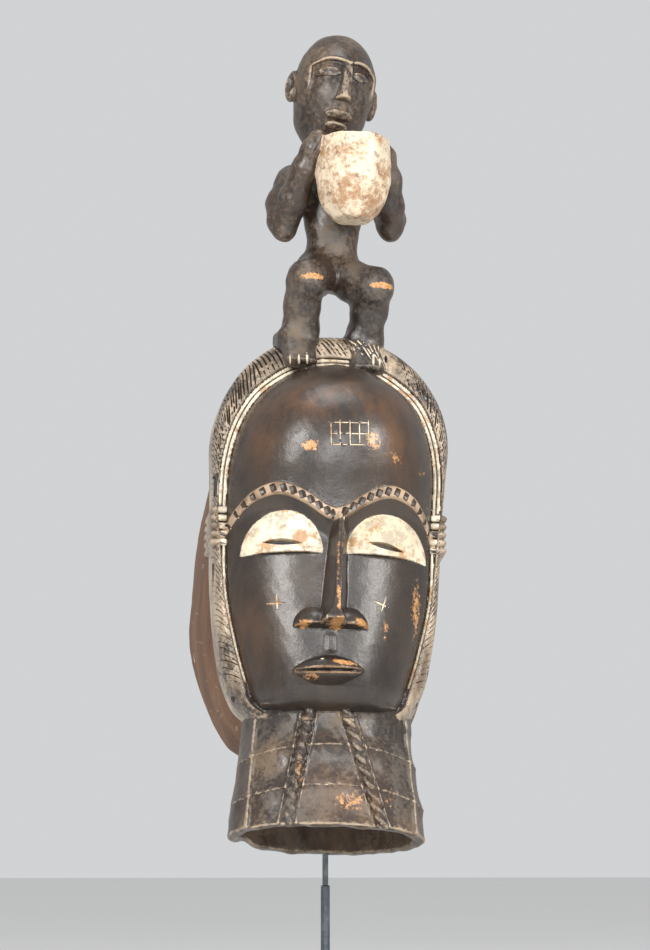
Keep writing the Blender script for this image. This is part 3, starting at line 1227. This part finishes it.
# %% Patina, wear and clay
def wood_finish():
    f = Finish(wood)
    cloud = f.noise(22, 5, 0.65)
    smear = f.noise(55, 4, 0.6, (1, 1, 0.45))
    grain = f.noise(90, 6, 0.7, (1, 1, 0.12), (math.radians(12), 0, 0))
    fine = f.noise(900, 4, 0.7)
    speck = f.noise(380, 4, 0.75)
    ragged = f.math("SUBTRACT", speck, 0.5)

    def times(*shares):
        whole = shares[0]
        for share in shares[1:]:
            whole = f.math("MULTIPLY", whole, share)
        return whole

    def without(share):
        return f.math("SUBTRACT", 1.0, share)

    def rough_step(value, amount, low, high):
        return f.step(f.math("MULTIPLY_ADD", ragged, amount, value), low, high)

    figure = f.step(f.number("figure"), -0.4, 0.4)
    neck = f.step(f.number("neck"), -0.5, 0.5)
    cut_depth, edge = f.number("cut"), f.number("edge")

    colour = f.mix(f.step(cloud, 0.35, 0.68), (0.013, 0.010, 0.009), (0.036, 0.024, 0.017))
    colour = f.mix(times(f.step(grain, 0.45, 0.75), 0.4), colour, (0.065, 0.038, 0.022))
    colour = f.mix(times(f.number("warm"), f.step(smear, 0.3, 0.65)), colour, (0.115, 0.052, 0.020))
    colour = f.mix(times(f.step(fine, 0.5, 0.75), 0.22), colour, (0.11, 0.085, 0.065))

    behind = rough_step(f.number("behind"), 8.0, -1, 5)
    plain = f.mix(f.step(grain, 0.3, 0.7), (0.085, 0.038, 0.018), (0.17, 0.085, 0.042))
    scratches = f.step(f.noise(420, 3, 0.6, (1, 0.08, 0.5), (0.5, 0, 0)), 0.62, 0.7)
    plain = f.mix(times(scratches, 0.5), plain, (0.36, 0.27, 0.2))
    colour = f.mix(behind, colour, plain)
    inside = f.step(f.number("inside"), 0.2, 1.2)
    raw = f.mix(f.step(grain, 0.3, 0.7), (0.035, 0.022, 0.014), (0.10, 0.062, 0.038))
    colour = f.mix(inside, colour, raw)

    body = f.math("MAXIMUM", figure, neck)
    dusty = times(body, rough_step(smear, 0.7, 0.42, 0.66))
    dust = f.mix(f.step(cloud, 0.4, 0.6), (0.085, 0.070, 0.056), (0.14, 0.095, 0.058))
    colour = f.mix(times(dusty, 0.8), colour, dust)

    worn = times(rough_step(edge, 0.35, 0.09, 0.24), without(times(f.step(cloud, 0.5, 0.7), 0.5)))
    colour = f.mix(times(worn, 0.8), colour, f.mix(body, (0.26, 0.15, 0.075), (0.38, 0.29, 0.20)))

    rubbed = rough_step(f.number("bare"), 1.3, 0.42, 0.62)
    gold = f.mix(f.step(fine, 0.35, 0.65), (0.30, 0.12, 0.03), (0.55, 0.30, 0.12))
    colour = f.mix(rubbed, colour, gold)

    hair = f.step(f.number("hair"), -0.2, 0.5)
    ridge = f.mix(f.step(smear, 0.35, 0.6), (0.13, 0.092, 0.06), (0.40, 0.31, 0.22))
    groove = f.step(cut_depth, 0.1, 0.35)
    colour = f.mix(times(hair, without(groove), rough_step(cloud, 0.6, 0.3, 0.55)), colour, ridge)
    colour = f.mix(times(hair, groove, 0.8), colour, (0.022, 0.015, 0.011))

    band = f.step(f.number("brow"), -0.2, 0.4)
    rail = f.mix(f.step(smear, 0.35, 0.6), (0.16, 0.10, 0.06), (0.42, 0.30, 0.20))
    colour = f.mix(times(band, without(f.step(cut_depth, 0.1, 0.4))), colour, rail)
    colour = f.mix(times(band, f.step(cut_depth, 0.3, 0.7), 0.8), colour, (0.04, 0.022, 0.013))

    line = times(f.step(f.number("lines"), 0.0, 0.4), rough_step(edge, 0.3, -0.2, -0.04))
    eyelid = rough_step(f.number("lid"), 1.6, -0.4, 0.3)
    in_cut = times(f.step(cut_depth, 0.12, 0.4), without(hair), without(band), f.number("chalk"))
    clay_share = f.math("MAXIMUM", f.math("MAXIMUM", eyelid, line), in_cut)
    clay_share = times(clay_share, f.step(f.math("ADD", speck, times(cloud, 0.7)), 0.52, 0.7))
    clay = f.mix(f.step(cloud, 0.4, 0.65), (0.74, 0.65, 0.50), (0.60, 0.49, 0.34))
    grey = times(rough_step(f.noise(130, 4, 0.65), 0.6, 0.44, 0.62), 0.6)
    clay = f.mix(grey, clay, (0.26, 0.22, 0.18))
    clay = f.mix(times(rough_step(f.noise(75, 3, 0.6), 0.5, 0.54, 0.66), 0.8), clay, (0.36, 0.18, 0.07))
    colour = f.mix(clay_share, colour, clay)
    colour = f.mix(f.step(f.number("peg"), 0.0, 0.6), colour, (0.45, 0.45, 0.44))

    cup = rough_step(f.number("cup"), 0.8, -0.3, 0.3)
    glaze = f.mix(rough_step(f.noise(60, 5, 0.7), 0.4, 0.42, 0.62), (0.60, 0.50, 0.37), (0.30, 0.17, 0.085))
    glaze = f.mix(times(rough_step(f.noise(160, 4, 0.7), 0.5, 0.55, 0.7), 0.6), glaze, (0.10, 0.055, 0.03))
    colour = f.mix(cup, colour, glaze)

    f.set("Base Color", colour)
    matt = f.math("MAXIMUM", f.math("MAXIMUM", clay_share, behind),
                  f.math("MAXIMUM", times(dusty, 0.7), inside))
    f.set("Roughness", f.math("ADD", f.scaled(matt, 0.25, 0.62), times(fine, 0.16)))
    f.set("Specular IOR Level", 0.55)
    normal = f.bump(grain, 0.25, 0.0006)
    normal = f.bump(fine, 0.22, 0.0003, normal)
    f.set("Normal", f.bump(cloud, 0.3, 0.002, normal))
    return len(f.tree.nodes)


block.data.materials.clear()
block.data.materials.append(wood)
print("wood finish of", wood_finish(), "nodes")

# %% [markdown]
# ## Steel stand
#
# The rod, its sleeve and the square foot are plain steel, and their solids already have the right
# shape. They keep their meshes and get a blued, slightly brushed finish.

# %% Blued and brushed steel
def steel_finish(name, dark, light_colour, roughness):
    material = bpy.data.materials.new(name)
    f = Finish(material)
    streak = f.noise(260, 3, 0.6, (1, 1, 0.04))
    spots = f.noise(120, 5, 0.7)
    f.set("Base Color", f.mix(f.step(spots, 0.35, 0.7), dark, light_colour))
    f.set("Metallic", 1.0)
    f.set("Roughness", f.scaled(streak, roughness - 0.1, roughness + 0.12))
    f.set("Normal", f.bump(streak, 0.15, 0.0002))
    return material


finishes = {"stand_rod": steel_finish("blued_rod", (0.10, 0.115, 0.13), (0.20, 0.22, 0.24), 0.38),
            "stand_tube": steel_finish("blued_sleeve", (0.09, 0.105, 0.12), (0.17, 0.19, 0.21), 0.42),
            "stand_base": steel_finish("blackened_foot", (0.020, 0.020, 0.021), (0.045, 0.045, 0.046), 0.5)}
for name, material in finishes.items():
    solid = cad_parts[name]
    solid.data.materials.clear()
    solid.data.materials.append(material)
print("finished", sorted(finishes))

# %% [markdown]
# ## Floor and light
#
# Two soft lamps stand left and right in front, as the photograph's highlights show. A third stands
# between them, and one hangs over the crown. A plain pale floor and an even pale surrounding leave the
# mask free from every side.

# %% Lamps, floor and surrounding
def light(name, place, aim_at, size, power, colour=(1, 1, 1)):
    data = bpy.data.lights.new(name, "AREA")
    data.shape = "DISK"
    data.size = size
    data.energy = power
    data.color = colour
    lamp = bpy.data.objects.new(name, data)
    lamp.location = place
    lamp.rotation_euler = (Vector(aim_at) - Vector(place)).to_track_quat("-Z", "Y").to_euler()
    bpy.context.scene.collection.objects.link(lamp)
    return lamp


light("key_left", (-1.0, -1.5, 1.2), (0, 0, 0.35), 0.45, 26, (1, 0.97, 0.93))
light("key_right", (1.1, -1.4, 1.1), (0, 0, 0.35), 0.45, 21, (1, 0.97, 0.93))
light("front", (0.1, -2.4, 1.0), (0, 0, 0.35), 0.3, 20, (0.95, 0.98, 1))
light("top", (0, -0.3, 1.9), (0, 0, 0.4), 0.7, 8)

world = bpy.data.worlds.new("world")
world.use_nodes = True
world.node_tree.nodes["Background"].inputs["Color"].default_value = (0.80, 0.81, 0.82, 1)
world.node_tree.nodes["Background"].inputs["Strength"].default_value = 0.8
bpy.context.scene.world = world
bpy.context.scene.view_settings.view_transform = "Standard"

FLOOR_HALF = 12.0
FLOOR_CORNERS = np.array([(-1, -1, 0), (1, -1, 0), (1, 1, 0), (-1, 1, 0)]) * FLOOR_HALF
floor = shown("floor", plain_mesh("floor", FLOOR_CORNERS, np.array([[0, 1, 2, 3]])))
pale = bpy.data.materials.new("pale_paper")
paper = Finish(pale)
paper.set("Base Color", paper.mix(paper.noise(3), (0.76, 0.76, 0.75), (0.80, 0.80, 0.79)))
paper.set("Roughness", 0.9)
floor.data.materials.append(pale)
floor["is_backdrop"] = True

# %% Sizes
low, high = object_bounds()
print("visual from", [round(v, 4) for v in low], "to", [round(v, 4) for v in high])
